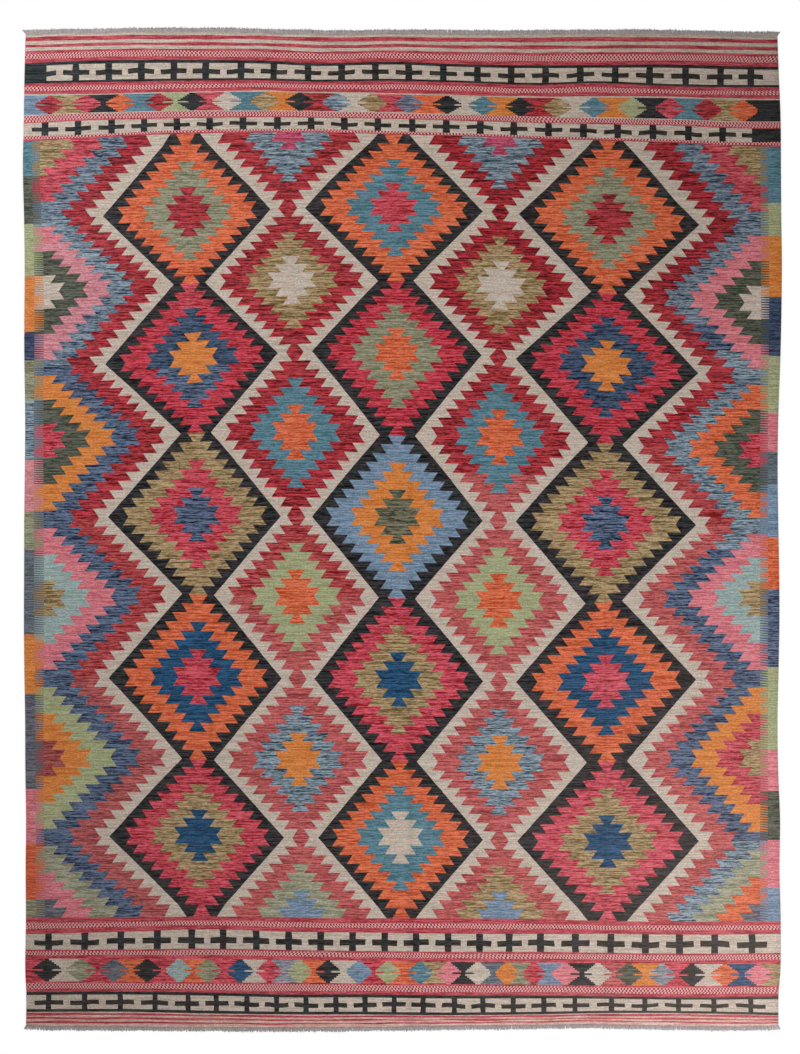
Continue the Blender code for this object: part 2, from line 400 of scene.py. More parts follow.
# ---- the fringes: which end each is on, its name and its node
FRINGES = ((-1, "warp_fringe_near", "fringe_near"), (1, "warp_fringe_far", "fringe_far"))
STRAND_PITCH = 0.0020
STRAND_LAYERS = 3
STRAND_RADIUS = 0.00105
STRAND_TIP_RADIUS = 0.00075
STRAND_SIDES = 3
STRAND_POINTS = 4
STRAND_LENGTH = 0.0175
STRAND_LENGTH_SPREAD = 0.0028
STRAND_LEAN, STRAND_BEND, BEND_SHARE = 0.25, 0.3, 0.6
STRAND_JITTER, STRAND_TURN = 0.35, 0.25
STRAND_CLEARANCE, STRAND_DROP = 1.02, 0.7
FIRST_LAYER_HEIGHT, UPPER_LAYER_HEIGHT = 0.0010, 0.0016
LONG_STRANDS, LONG_STRAND_EXTRA = 0.06, 0.004
CORNER_LEAN, CORNER_LEAN_POWER = 0.5, 15

# The tufts of longer and shorter strands, and the slow drift of their lean.
TUFT_SHORT, TUFT_SPAN = 0.92, 0.16
TUFT_RATE, TUFT_SEED, TUFT_LANE = 14, 3.1, 0.2
DRIFT_LEAN, DRIFT_RATE, DRIFT_SEED, DRIFT_LANE = 0.8, 5, 7.7, 4.4

# ---- the bake maps
MAP_EDGE = 0.004
MAP_BANDS, MAP_MARGIN = 16, 0.05
MAP_STRAND = (0.2, 0.8)

# ---- the materials
# The light that a white surface on the floor sends back, of 1 on the display.
LIGHT_GAIN = 1.05

# The usual span of noise, and the mix node's own numbers of its first colour and its result colour.
NOISE_SPAN = (0.3, 0.7)
MIX_COLOURS, MIX_RESULT = 6, 2

# The lane of each noise, its third coordinate, so that no two are alike.
WEFT_LANE, LONG_LANE, TOOTH_LANE, LOOSE_LANE, SLACK_LANE = 9.0, 3.0, 6.0, 1.0, 4.0
RED_LANE, BLUE_LANE, GRAIN_LANE, DIRT_LANE = 7.0, 17.0, 5.0, 2.0

# Rates are in features a metre, across the rug and along it. Each area's streaks start at a place of
# their own, LOT_SHIFT times the number of its lot.
WEFT_RATES, WEFT_BEND = (7.0, 11.0), 0.0045
LOT_SHIFT = 61.0
STREAKS_ACROSS, STREAKS_ALONG = 42.0, 245.0
STREAK_ROUGHNESS = 0.6
LONG_ACROSS, LONG_ALONG = 7.5, 200.0
STREAK_SPREAD = (0.41, 0.59)
HUE_ACROSS, HUE_ALONG = 60.0, 165.0
RED_DRIFT, GREEN_DRIFT, BLUE_DRIFT = 0.13, 0.05, 0.12
RED_CAST, GREEN_CAST, BLUE_CAST = 0.014, 0.006, 0.012
GRAIN_RATES, GRAIN_SPAN = (150.0, 200.0), (0.78, 1.22)
COMB_TEETH, COMB_TEETH_LOST = 108.4, 3.75
COMB_CUT, COMB_CUT_LIGHT = 0.16, 0.66
COMB_TAPER, COMB_RAGGED, COMB_STEP = 0.34, 0.8, 3.7
TWINE_PITCH, TWINE_ROW, TWINE_DARK = 0.0128, 0.0082, 0.44
TWINE_LOOSE_RATES, TWINE_LOOSE = (16.0, 60.0), 0.9
TWINE_SLACK_RATES, TWINE_SLACK = (2.5, 9.0), 7.0
RIB_PITCH, PICK_PITCH = 0.0052, 0.0026
PICK_SLANT = PICK_PITCH / 3

# The weave's grooves, as painted shade: the share of light at a rib's foot and past it, and its relief.
RIB_GROOVE_SHADE = (0.0, 0.4, 0.90, 1.02)
RIB_RELIEF, PICK_RELIEF, STREAK_RELIEF = 0.6, 0.25, 0.15
WEAVE_DEPTH, HAIR_DEPTH = 0.0004, 0.0002
WOOL_SPECULAR, WOOL_SHEEN, SHEEN_ROUGHNESS = 0.08, 0.05, 0.5
WOOL_ROUGHNESS, WARP_ROUGHNESS = (0.95, 0.86), (0.95, 0.85)
HAIR_RATES, DIRT_RATES = (900.0, 220.0), (22.0, 60.0)
TONE_SHARE, HAIR_SHARE, DIRT_SHARE = 0.5, 0.3, 0.2
DARKEST = (0.002, 0.0025, 0.003)

# The painted shade of the light that falls off over the rug, as powers of e over half its width and
# length: from corner to corner, along it and across it.
LIGHT_FALLOFF_SPAN = (1.497, 1.964)
LIGHT_FALLOFF_CROSS, LIGHT_FALLOFF_ALONG, LIGHT_FALLOFF_ACROSS = -0.367, -0.043, 0.027
# The same painted shade of the light's falloff, on the fringes.
FRINGE_LIGHT_FALLOFF = -0.30

# How much more light the near right, far right, near left and far left corners lose, as painted shade.
CORNER_PAINTED_SHADES = (0.20, 0.075, 0.10, 0.06)

# The painted pale haze of light over the near end, the far end, the near right corner and the far left
# one.
PAINTED_HAZES = ((0.013, 0.009, 0.007), (0.006, 0.003, 0.0), (0.066, 0.049, 0.042), (0.010, 0.014, 0.019))

# The painted shade along the faint creases where the rug was folded: the place across it, half the
# crease's width, the light it loses and where along the rug it begins, from which it runs to the near
# end.
FOLD_PAINTED_SHADES = (
    (0.031, 0.021, 0.15, 0.55),
    (0.804, 0.010, 0.16, -0.10),
    (-0.758, 0.012, 0.11, -0.40),
)
FOLD_SHADE_RAMP = 0.25

# ---- the floor and the light
FLOOR_HALF, FLOOR_DROP = 30, 0.0002
FLOOR_RATE, FLOOR_TONES = 1.3, (0.945, 0.96)
FLOOR_ROUGHNESS, FLOOR_SPECULAR = 0.9, 0.1
SKY_LIGHT, SUN_LIGHT = 0.65, 0.35
SUN_WIDTH, SUN_TILT = math.radians(40), math.radians(38)
SUN_TURN = (0.8, -0.6)

# ---- the view
PHOTO_PIXEL = 0.00396
PHOTO_WIDTH, PHOTO_HEIGHT = 800, 1054
CHART_ZERO_IN_PHOTO = (402.4, 529.9)
CAMERA_HEIGHT = 14.0
SENSOR = 36.0
CLIP_END = 100


def smooth_value(rows, column, place):
    """A column of a table at a place between its rows, on a smooth curve through them."""
    last = len(rows) - 1
    here = max(i for i in range(last) if rows[i][0] <= place or i == 0)
    before, start, end, after = (rows[min(max(here + k, 0), last)] for k in (-1, 0, 1, 2))
    span = end[0] - start[0]
    t = min(max((place - start[0]) / span, 0), 1)
    slope_in = (end[column] - before[column]) / (end[0] - before[0]) * span
    slope_out = (after[column] - start[column]) / (after[0] - start[0]) * span
    rise = end[column] - start[column]
    eased = t * t * (3 - 2 * t)
    return start[column] + rise * eased + t * (1 - t) * (slope_in * (1 - t) - slope_out * t)


def selvedge_x(side, y):
    """Where the cloth's left (-1) or right (+1) edge lies, millimetres."""
    return side * (CLOTH_WIDTH / 2 + smooth_value(SELVEDGES, 1 if side < 0 else 2, y * MM)) / MM


def end_y(side, x):
    """Where the cloth's near (-1) or far (+1) end lies, millimetres."""
    return side * (CLOTH_LENGTH / 2 + smooth_value(ENDS, 1 if side < 0 else 2, x * MM)) / MM


def end_line(side):
    return lambda x: end_y(side, x)


def chart_line(rows, column):
    return lambda x: smooth_value(rows, column, x)


def between(first, second, share):
    """The line that lies a share of the way from the first line to the second."""
    return lambda x: first(x) + (second(x) - first(x)) * share


# The field's known weft lines, and how many of its courses lie above each.
FIELD_KNOTS = (0,) + LINE_COURSES + (COURSES,)
KNOT_LINES = [chart_line(FAR_LINES, FIELD_FAR)]
KNOT_LINES += [chart_line(FIELD_LINES, c + 1) for c in range(len(LINE_COURSES))]
KNOT_LINES += [chart_line(NEAR_LINES, FIELD_NEAR)]


def field_line(course):
    """The weft line above the field's course of that number, whole or not."""
    knot = max(i for i in range(len(FIELD_KNOTS) - 1) if FIELD_KNOTS[i] <= course)
    share = (course - FIELD_KNOTS[knot]) / (FIELD_KNOTS[knot + 1] - FIELD_KNOTS[knot])
    return between(KNOT_LINES[knot], KNOT_LINES[knot + 1], share)


def column_edge(number, course):
    """Where the edge after the column of that number lies at the weft line above a course."""
    knot = min(course // COURSES_PER_HALF, len(COLUMN_EDGES) - 2)
    share = course / COURSES_PER_HALF - knot
    above, below = COLUMN_EDGES[knot][number + 1], COLUMN_EDGES[knot + 1][number + 1]
    return above + (below - above) * share


def column_middle(column, course):
    """Where a column of diamonds has its middle at the weft line above a course."""
    if column == 0:
        return SIDE_MIDDLES[0]
    if column == LAST_COLUMN:
        return SIDE_MIDDLES[1]
    return (column_edge(column - 1, course) + column_edge(column, course)) / 2


class Course:
    """One band of weft between two lines, with its areas' edges and dyes from left to right."""

    def __init__(self, top, bottom, first):
        self.top = top
        self.bottom = bottom
        self.edges = []
        self.patches = [first]

    def add(self, top_x, bottom_x, patch):
        """A new area starts at top_x on the far line and bottom_x on the near one."""
        self.edges.append((top_x, bottom_x))
        self.patches.append(patch)


def plain(dye):
    return (TWINE, "twine_red", "twine_cream") if dye == "twined" else (PLAIN, dye, dye)


def wander(line, height, length, seed):
    """The line with a soft unevenness of its own."""
    return lambda x: line(x) + height * noise.noise(Vector((x / length, seed, WANDER_LANE)))


def striped(first, second, stripes):
    """Courses of one area each."""
    courses = []
    top = first
    for number, (share, dye) in enumerate(stripes):
        bottom = between(first, second, share)
        if number < len(stripes) - 1:
            seed = first(0) / WANDER_SEED + number * STRIPE_SEED
            bottom = wander(bottom, STRIPE_WANDER, STRIPE_WANDER_LENGTH, seed)
        courses.append(Course(top, bottom, plain(dye)))
        top = bottom
    return courses


def edged(first, second, edges, courses):
    """The courses of a band's middle, with its plain edges before and after them."""
    start, end, dye = edges
    if dye is None:
        return courses
    edge = ((1, dye),)
    before = striped(first, between(first, second, start), edge)
    return before + courses + striped(between(first, second, end), second, edge)


def waver(*places, by, chance):
    """The places, each a little out, as a hand sets them."""
    return [place + chance.uniform(-by, by) for place in places]


def arm_ends(middles):
    """Where each cross's two arms end."""
    ends = []
    for i, middle in enumerate(middles):
        before = middle - middles[i - 1] if i else middles[1] - middle
        after = middles[i + 1] - middle if i < len(middles) - 1 else before
        ends.append((middle - ARM_SHARE * before, middle + ARM_SHARE * after))
    return ends


def crosses(first, second, edges, middles, width, chance, left_block=None, right_block=None):
    """A band of dark crosses on cream."""
    start, end, _ = edges
    shares = [start, start + (end - start) * ARMS_FROM, start + (end - start) * ARMS_TO, end]
    lines = [between(first, second, share) for share in shares]
    for k in (1, 2):
        lines[k] = wander(lines[k], ARM_WANDER, ARM_WANDER_LENGTH, first(0) / WANDER_SEED)
    courses = []
    for top, bottom, arms in zip(lines, lines[1:], (False, True, False)):
        course = Course(top, bottom, plain("cream"))
        if left_block:
            course.patches = [plain("ink")]
            course.add(*[left_block[arms]] * 2, plain("cream"))
        for middle, (left, right) in zip(middles, arm_ends(middles)):
            if arms:
                course.add(*waver(left, left, by=ARM_WAVER, chance=chance), plain("umber"))
            for side, dye in ((-1, "ink"), (1, "umber" if arms else "cream")):
                bar = middle + side * width / 2
                course.add(*waver(bar, bar, by=BAR_WAVER, chance=chance), plain(dye))
            if arms:
                course.add(*waver(right, right, by=ARM_WAVER, chance=chance), plain("cream"))
        if right_block:
            course.add(*[right_block[arms]] * 2, plain("ink"))
        courses.append(course)
    return edged(first, second, edges, courses)


def gems(first, second, edges, ground, stones, chance):
    """A band of small stepped diamonds, with the pins of their neighbours' wool at mid height."""
    start, end, _ = edges
    sizes = []
    for i, (middle, _, _) in enumerate(stones):
        gaps = [abs(stones[k][0] - middle) for k in (i - 1, i + 1) if 0 <= k < len(stones)]
        widest = min(GEM_HALF_WIDTH, (min(gaps) - GEM_WAIST) / 2)
        pins = [chance.uniform(*PIN_REACH) if chance.random() < PIN_CHANCE else NO_PIN for _ in range(2)]
        sizes.append((widest, [min(pin, widest - GEM_TIP) for pin in pins]))
    rows = [(1, k) for k in range(GEM_STEPS)] + [(PIN_HEIGHT, GEM_STEPS)]
    rows += rows[::-1]
    total = sum(height for height, _ in rows)
    done = 0
    courses = []
    for number, (height, from_edge) in enumerate(rows):
        shares = [start + (end - start) * place / total for place in (done, done + height)]
        if number == len(rows) - 1:
            shares[1] = end
        done += height
        course = Course(*[between(first, second, share) for share in shares], plain(ground))
        for (middle, dye, right), (widest, pins) in zip(stones, sizes):
            if from_edge == GEM_STEPS:
                halves = [(widest - PIN_BLUNT * pin, widest - pin) for pin in pins]
                if number > len(rows) / 2:
                    halves = [pair[::-1] for pair in halves]
            else:
                half = GEM_TIP + (widest - GEM_TIP) * from_edge / (GEM_STEPS - 1)
                half += chance.uniform(-GEM_WAVER, GEM_WAVER)
                halves = [(half, half)] * 2
            course.add(middle - halves[0][0], middle - halves[0][1], plain(dye))
            course.add(middle + halves[1][0], middle + halves[1][1], plain(right))
        courses.append(course)
    return edged(first, second, edges, courses)


def block_dye(side, y):
    """The side border's dye at a place along the rug."""
    return next((dye for end, dye in SIDE_BLOCKS[side] if y > end), SIDE_BLOCKS[side][-1][1])


def lot_of(dye, column, course):
    """The lot of a wool that the weaver had in hand at a course."""
    for wool, columns, first, last, lot in LOT_CHANGES:
        if wool == dye and column in columns and first <= course < last:
            return lot
    return dye


def diamond_rings(column, row, middle_course):
    """A diamond's rings, innermost first: half width at the first course, at the last, courses."""
    if column == 0:
        reach = column_edge(0, middle_course) - SIDE_MIDDLES[0]
    elif column == LAST_COLUMN:
        reach = SIDE_MIDDLES[1] - column_edge(LAST_COLUMN - 1, middle_course)
    else:
        reach = (column_edge(column, middle_course) - column_edge(column - 1, middle_course)) / 2
        if row == 0 and middle_course == 0:
            return CUT_LIGHT_RINGS
        rings = COLUMN_RINGS.get(column, RINGS)
        return [(share * reach, LAST_TOOTH, courses) for share, courses in rings]
    if row == 0:
        return CUT_LEFT_RINGS if column == 0 else CUT_RIGHT_RINGS
    last = SIDE_FIRST_SHARE * reach
    return [(last + SIDE_STEP_SHARE * reach * (courses - 1), last, courses) for courses in SIDE_RINGS]


def ring_edges(column, course, chance):
    """The half widths of a diamond's rings at a course's two lines, innermost first, with how far
    each ring leans to the right, its dye and the dye around it, or None outside the last."""
    shift = 0 if column % 2 else COURSES_PER_HALF
    row = (course + shift) // COURSES_PER_DIAMOND
    middle = row * COURSES_PER_DIAMOND + COURSES_PER_HALF - shift
    above = course < middle
    away = middle - course if above else course - middle + 1
    rings = diamond_rings(column, row, middle)
    dyes = [lot_of(dye, column, course) for dye in RING_DYES[column][row].split()]
    found = []
    for k, (first, last, courses) in enumerate(rings):
        if away <= courses:
            wide = first + (last - first) * (away - 1) / (courses - 1) + chance.uniform(-HAND, HAND)
            pair = (wide, wide - TOOTH) if above else (wide - TOOTH, wide)
            ring = len(rings) - 1 - k
            lean = RING_LEANS[column][k] if column in RING_LEANS else 0
            found.append(pair + (lean, dyes[ring], dyes[ring - 1] if ring else None))
    return found


def field_marks(course, chance):
    """The places of the field's edges on a course's two lines, and the dyes between them."""
    marks, dyes = [], []
    for column in range(LAST_COLUMN + 1):
        ground = "black" if column % 2 else "cream"
        middles = [column_middle(column, course + k) for k in (0, 1)]
        if column:
            edges = ring_edges(column, course, chance)
            for above, below, lean, _, outside in reversed(edges):
                dyes.append(outside or ground)
                marks.append((middles[0] + lean - above, middles[1] + lean - below))
        edges = ring_edges(column, course, chance)
        dyes.append(edges[0][3])
        if column < LAST_COLUMN:
            for above, below, lean, _, outside in edges:
                marks.append((middles[0] + lean + above, middles[1] + lean + below))
                dyes.append(outside or ground)
            marks.append(tuple(column_edge(column, course + k) for k in (0, 1)))
    return marks, dyes


def course_stops(number):
    """The shares of a course where it is cut: its middle, or else the ends of side blocks in it."""
    stops = []
    for side, blocks in SIDE_BLOCKS.items():
        edge = side * (HALF_WIDTH - BLOCK_MIDDLE)
        top, bottom = field_line(number)(edge), field_line(number + 1)(edge)
        stops += [(top - end) / (top - bottom) for end, _ in blocks[:-1]]
    stops = sorted(stop for stop in stops if SMALLEST_STOP < stop < 1 - SMALLEST_STOP)
    if not any(MIDDLE_STOP[0] < stop < MIDDLE_STOP[1] for stop in stops):
        stops = sorted(stops + [sum(MIDDLE_STOP) / 2])
    kept = [0]
    for stop in stops:
        if stop - kept[-1] > SMALLEST_STOP:
            kept.append(stop)
    return kept + [1]


def field_courses(chance):
    """The field with its side borders, each course in a few steps so that it follows its lines."""
    courses = []
    for number in range(COURSES):
        marks, dyes = field_marks(number, chance)
        stops = course_stops(number)
        rows = []
        for stop in stops:
            by = WAVER if 0 < stop < 1 else 0
            rows.append(waver(*[a + (b - a) * stop for a, b in marks], by=by, chance=chance))
        for step in range(len(stops) - 1):
            top, bottom = field_line(number + stops[step]), field_line(number + stops[step + 1])
            edges = [None]
            for k in (LEFT_BLOCK, LEFT_COMB, RIGHT_COMB, RIGHT_BLOCK):
                place = SIDE_EDGES[0][k]
                edges.append([smooth_value(SIDE_EDGES, k, line(place)) for line in (top, bottom)])
            blocks = []
            for side in (-1, 1):
                edge = side * (HALF_WIDTH - BLOCK_MIDDLE)
                blocks.append(block_dye(side, (top(edge) + bottom(edge)) / 2))
            course = Course(top, bottom, plain(blocks[0]))
            course.add(*edges[LEFT_BLOCK], (COMB, blocks[0], dyes[0]))
            course.add(*edges[LEFT_COMB], plain(dyes[0]))
            for places, dye in zip(zip(rows[step], rows[step + 1]), dyes[1:]):
                limits = zip(places, edges[LEFT_COMB], edges[RIGHT_COMB])
                course.add(*[min(max(x, left), right) for x, left, right in limits], plain(dye))
            course.add(*edges[RIGHT_COMB], (COMB, dyes[-1], blocks[1]))
            course.add(*edges[RIGHT_BLOCK], plain(blocks[1]))
            courses.append(course)
    return courses


def border(lines, *bands):
    """The courses of a border, whose bands lie between its lines, one after another."""
    courses = []
    for first, second, (make, *facts) in zip(lines, lines[1:], bands):
        courses += make(first, second, *facts)
    return courses


def far_border(chance):
    return border(
        [end_line(1)] + [chart_line(FAR_LINES, k) for k in range(1, FIELD_FAR + 1)],
        (striped, FAR_END_STRIPES),
        (crosses, FAR_BLACK_EDGES, FAR_OUTER_CROSSES, BAR_WIDTH, chance, FAR_OUTER_BLOCK),
        (striped, FAR_BLACK_STRIPES),
        (gems, NO_EDGES, FAR_GEMS_START, FAR_GEMS, chance),
        (striped, FAR_CROSS_STRIPES),
        (crosses, NO_EDGES, FAR_INNER_CROSSES, BAR_WIDTH, chance, None, FAR_INNER_BLOCK),
        (striped, FAR_FIELD_STRIPES),
    )


def near_border(chance):
    return border(
        [chart_line(NEAR_LINES, k) for k in range(FIELD_NEAR, len(NEAR_LINES[0]))] + [end_line(-1)],
        (striped, NEAR_FIELD_STRIPES),
        (crosses, NO_EDGES, NEAR_INNER_CROSSES, BAR_WIDTH, chance),
        (striped, NEAR_CROSS_STRIPES),
        (gems, NEAR_GEMS_EDGES, NEAR_GEMS_START, NEAR_GEMS, chance),
        (striped, NEAR_BLACK_STRIPES),
        (crosses, NEAR_BLACK_EDGES, NEAR_OUTER_CROSSES, NARROW_BAR_WIDTH, chance),
        (striped, NEAR_END_STRIPES),
    )


def outline_middle():
    """The middle of the cloth's own box on the chart, metres."""
    across, along = (int(size / 2 / MM / OUTLINE_STEP) for size in (CLOTH_WIDTH, CLOTH_LENGTH))
    ys = [end_y(side, x * OUTLINE_STEP) for side in (-1, 1) for x in range(-across, across + 1)]
    xs = [selvedge_x(side, y * OUTLINE_STEP) for side in (-1, 1) for y in range(-along, along + 1)]
    return (min(xs) + max(xs)) / 2 * MM, (min(ys) + max(ys)) / 2 * MM


def lift(x, y):
    """How high the cloth stands off the floor at a place in the frame, metres."""
    wave = noise.noise(Vector((x / WAVE_LENGTH, y / WAVE_LENGTH, WAVE_LANE)))
    height = WAVE_HEIGHT * max(0, wave - WAVE_FLOOR)
    for middle, width, crest in CREASES:
        bend = noise.noise(Vector((middle * BEND_SEED, y * BEND_RATE, WANDER_LANE)))
        swell = noise.noise(Vector((y * SWELL_RATE, middle * SWELL_SEED, SWELL_LANE)))
        away = (x - middle - CREASE_BEND * bend) / width
        height += crest * (1 - CREASE_SWELL + CREASE_SWELL * swell) * math.exp(-away ** 2)
    return max(0, height)


def linear(display):
    """A display value of 0 to 255 as linear light, by the usual display curve."""
    value = display / DISPLAY_WHITE
    return value / 12.92 if value <= 0.04045 else ((value + 0.055) / 1.055) ** 2.4


def tones(pair):
    """A pair of display colours as linear light, with their middle between them."""
    dark, light = ([linear(part) for part in tone] + [1] for tone in pair)
    return dark, [(a + b) / 2 for a, b in zip(dark, light)], light


def face_values(mesh, name, kind, field, values, domain="FACE"):
    """One value for each face or corner of a mesh, for its material to read."""
    mesh.attributes.new(name, kind, domain)
    mesh.attributes[name].data.foreach_set(field, values)


def smooth_mesh(name, verts, faces, places):
    """A smooth mesh. Each corner of each face has its place on the bake map, OFBake."""
    mesh = bpy.data.meshes.new(name)
    mesh.from_pydata(verts, [], faces)
    mesh.update()
    mesh.uv_layers.new(name="OFBake")
    mesh.uv_layers["OFBake"].data.foreach_set("uv", [value for place in places for value in place])
    mesh.polygons.foreach_set("use_smooth", [True] * len(faces))
    return mesh


def put_in_scene(name, data):
    """A new object that shows a mesh, a light or a camera."""
    thing = bpy.data.objects.new(name, data)
    bpy.context.scene.collection.objects.link(thing)
    return thing


class Sheet:
    """The cloth's mesh while it is built: points, faces and each face's wool."""

    def __init__(self, courses, shift):
        self.shift = shift
        self.points = []
        self.faces = []
        self.wool = []
        self.reaches = []
        self.lines = []
        tops = [[edge[0] for edge in course.edges] for course in courses] + [[]]
        bottoms = [[]] + [[edge[1] for edge in course.edges] for course in courses]
        lines = [course.top for course in courses] + [courses[-1].bottom]
        for line, below, above in zip(lines, tops, bottoms):
            self.lines.append(self.lay_line(line, below + above))

    def lay_line(self, line, places):
        """The points of one line from selvedge to selvedge, as (key, point number)."""
        left = selvedge_x(-1, line(-HALF_WIDTH)) + EDGE_ROUND / MM
        right = selvedge_x(1, line(HALF_WIDTH)) - EDGE_ROUND / MM
        kept = {round(x / MERGE): x for x in places if left + RIM_GAP < x < right - RIM_GAP}
        ordered = [left] + [kept[key] for key in sorted(kept)] + [right]
        full = []
        for here, ahead in zip(ordered, ordered[1:]):
            steps = max(1, math.ceil((ahead - here) / FILL))
            full += [here + (ahead - here) * i / steps for i in range(steps)]
        full.append(right)
        row = []
        for x in full:
            row.append((round(x / MERGE), len(self.points)))
            self.points.append((x * MM - self.shift[0], line(x) * MM - self.shift[1]))
        return row

    def chain(self, row, start, end):
        """The points of a line from one place to another."""
        first = row[0][0] if start is None else round(start / MERGE)
        last = row[-1][0] if end is None else round(end / MERGE)
        return [point for key, point in row if first <= key <= last]

    def reach(self, row):
        """How far along its piece of a line each point lies, from 0 at the left end to 1."""
        xs = [self.points[point][0] for point in row]
        return {point: (x - xs[0]) / max(xs[-1] - xs[0], MM) for point, x in zip(row, xs)}

    def fill_area(self, above, below, wool):
        """Triangles between a piece of the far line and one of the near line."""
        reach = {**self.reach(above), **self.reach(below)}
        i = j = 0
        while i < len(above) - 1 or j < len(below) - 1:
            up = (i + 1) / (len(above) - 1) if i < len(above) - 1 else math.inf
            down = (j + 1) / (len(below) - 1) if j < len(below) - 1 else math.inf
            if up <= down:
                self.faces.append((above[i], below[j], above[i + 1]))
                i += 1
            else:
                self.faces.append((above[i], below[j], below[j + 1]))
                j += 1
            self.wool.append(wool)
            self.reaches.append([reach[point] for point in self.faces[-1]])

    def fill_course(self, number, course, chance):
        """All the areas of one course."""
        tops = [None] + [edge[0] for edge in course.edges] + [None]
        bottoms = [None] + [edge[1] for edge in course.edges] + [None]
        for k, patch in enumerate(course.patches):
            above = self.chain(self.lines[number], tops[k], tops[k + 1])
            below = self.chain(self.lines[number + 1], bottoms[k], bottoms[k + 1])
            if above and below:
                self.fill_area(above, below, (patch, chance.random()))

    def boundary(self):
        """The outermost points, anticlockwise from the near left corner."""
        near = [point for _, point in self.lines[-1]]
        far = [point for _, point in self.lines[0]]
        right = [row[-1][1] for row in self.lines[1:-1]][::-1]
        left = [row[0][1] for row in self.lines[1:-1]]
        return near + right + far[::-1] + left


def build_cloth(courses, shift):
    """The cloth as a closed mesh: its face, its back and a rounded edge between them."""
    chance = random.Random(SEED)
    sheet = Sheet(courses, shift)
    for number, course in enumerate(courses):
        sheet.fill_course(number, course, chance)
    rim = sheet.boundary()
    count = len(sheet.points)
    heights = [lift(x, y) for x, y in sheet.points]
    verts = [(x, y, CLOTH_THICKNESS + h) for (x, y), h in zip(sheet.points, heights)]
    verts += [(x, y, h) for (x, y), h in zip(sheet.points, heights)]
    faces = list(sheet.faces) + [tuple(v + count for v in reversed(face)) for face in sheet.faces]
    wool = sheet.wool + sheet.wool
    edge_wool = {}
    for face, patch in zip(sheet.faces, sheet.wool):
        for v in face:
            edge_wool.setdefault(v, patch)
    outer = []
    for k, point in enumerate(rim):
        x, y = sheet.points[point]
        before, after = sheet.points[rim[k - 1]], sheet.points[rim[(k + 1) % len(rim)]]
        along = Vector((after[0] - before[0], after[1] - before[1])).normalized()
        outer.append(len(verts))
        out_x, out_y = x + along.y * EDGE_ROUND, y - along.x * EDGE_ROUND
        verts.append((out_x, out_y, CLOTH_THICKNESS / 2 + heights[point]))
    for k, point in enumerate(rim):
        ahead = rim[(k + 1) % len(rim)]
        mid, mid_ahead = outer[k], outer[(k + 1) % len(rim)]
        faces.append((mid, mid_ahead, ahead, point))
        faces.append((point + count, ahead + count, mid_ahead, mid))
        wool += [edge_wool[point]] * 2
    spans = [(min(v[k] for v in verts), max(v[k] for v in verts)) for k in (0, 1)]
    flat = []
    for v in verts:
        shares = [(v[k] - low) / (high - low) for k, (low, high) in enumerate(spans)]
        flat.append([MAP_EDGE + (1 - 2 * MAP_EDGE) * share for share in shares])
    mesh = smooth_mesh("kilim_cloth", verts, faces, [flat[v] for face in faces for v in face])
    darks, lights = [], []
    colours = {name: tones(pair) for name, pair in DYES.items()}
    for (kind, first, second), _ in wool:
        darks += colours[first][0 if kind == PLAIN else 1]
        lights += colours[second][2 if kind == PLAIN else 1]
    reaches = sheet.reaches + [corners[::-1] for corners in sheet.reaches]
    reaches += [[0.0] * len(face) for face in faces[len(reaches):]]
    reaches = [value for corners in reaches for value in corners]
    face_values(mesh, "dye_dark", "FLOAT_COLOR", "color", darks)
    face_values(mesh, "dye_light", "FLOAT_COLOR", "color", lights)
    face_values(mesh, "craft", "FLOAT", "value", [float(patch[0]) for patch, _ in wool])
    face_values(mesh, "lot", "FLOAT", "value", [number for _, number in wool])
    face_values(mesh, "reach", "FLOAT", "value", reaches, "CORNER")
    return put_in_scene("kilim_cloth", mesh)


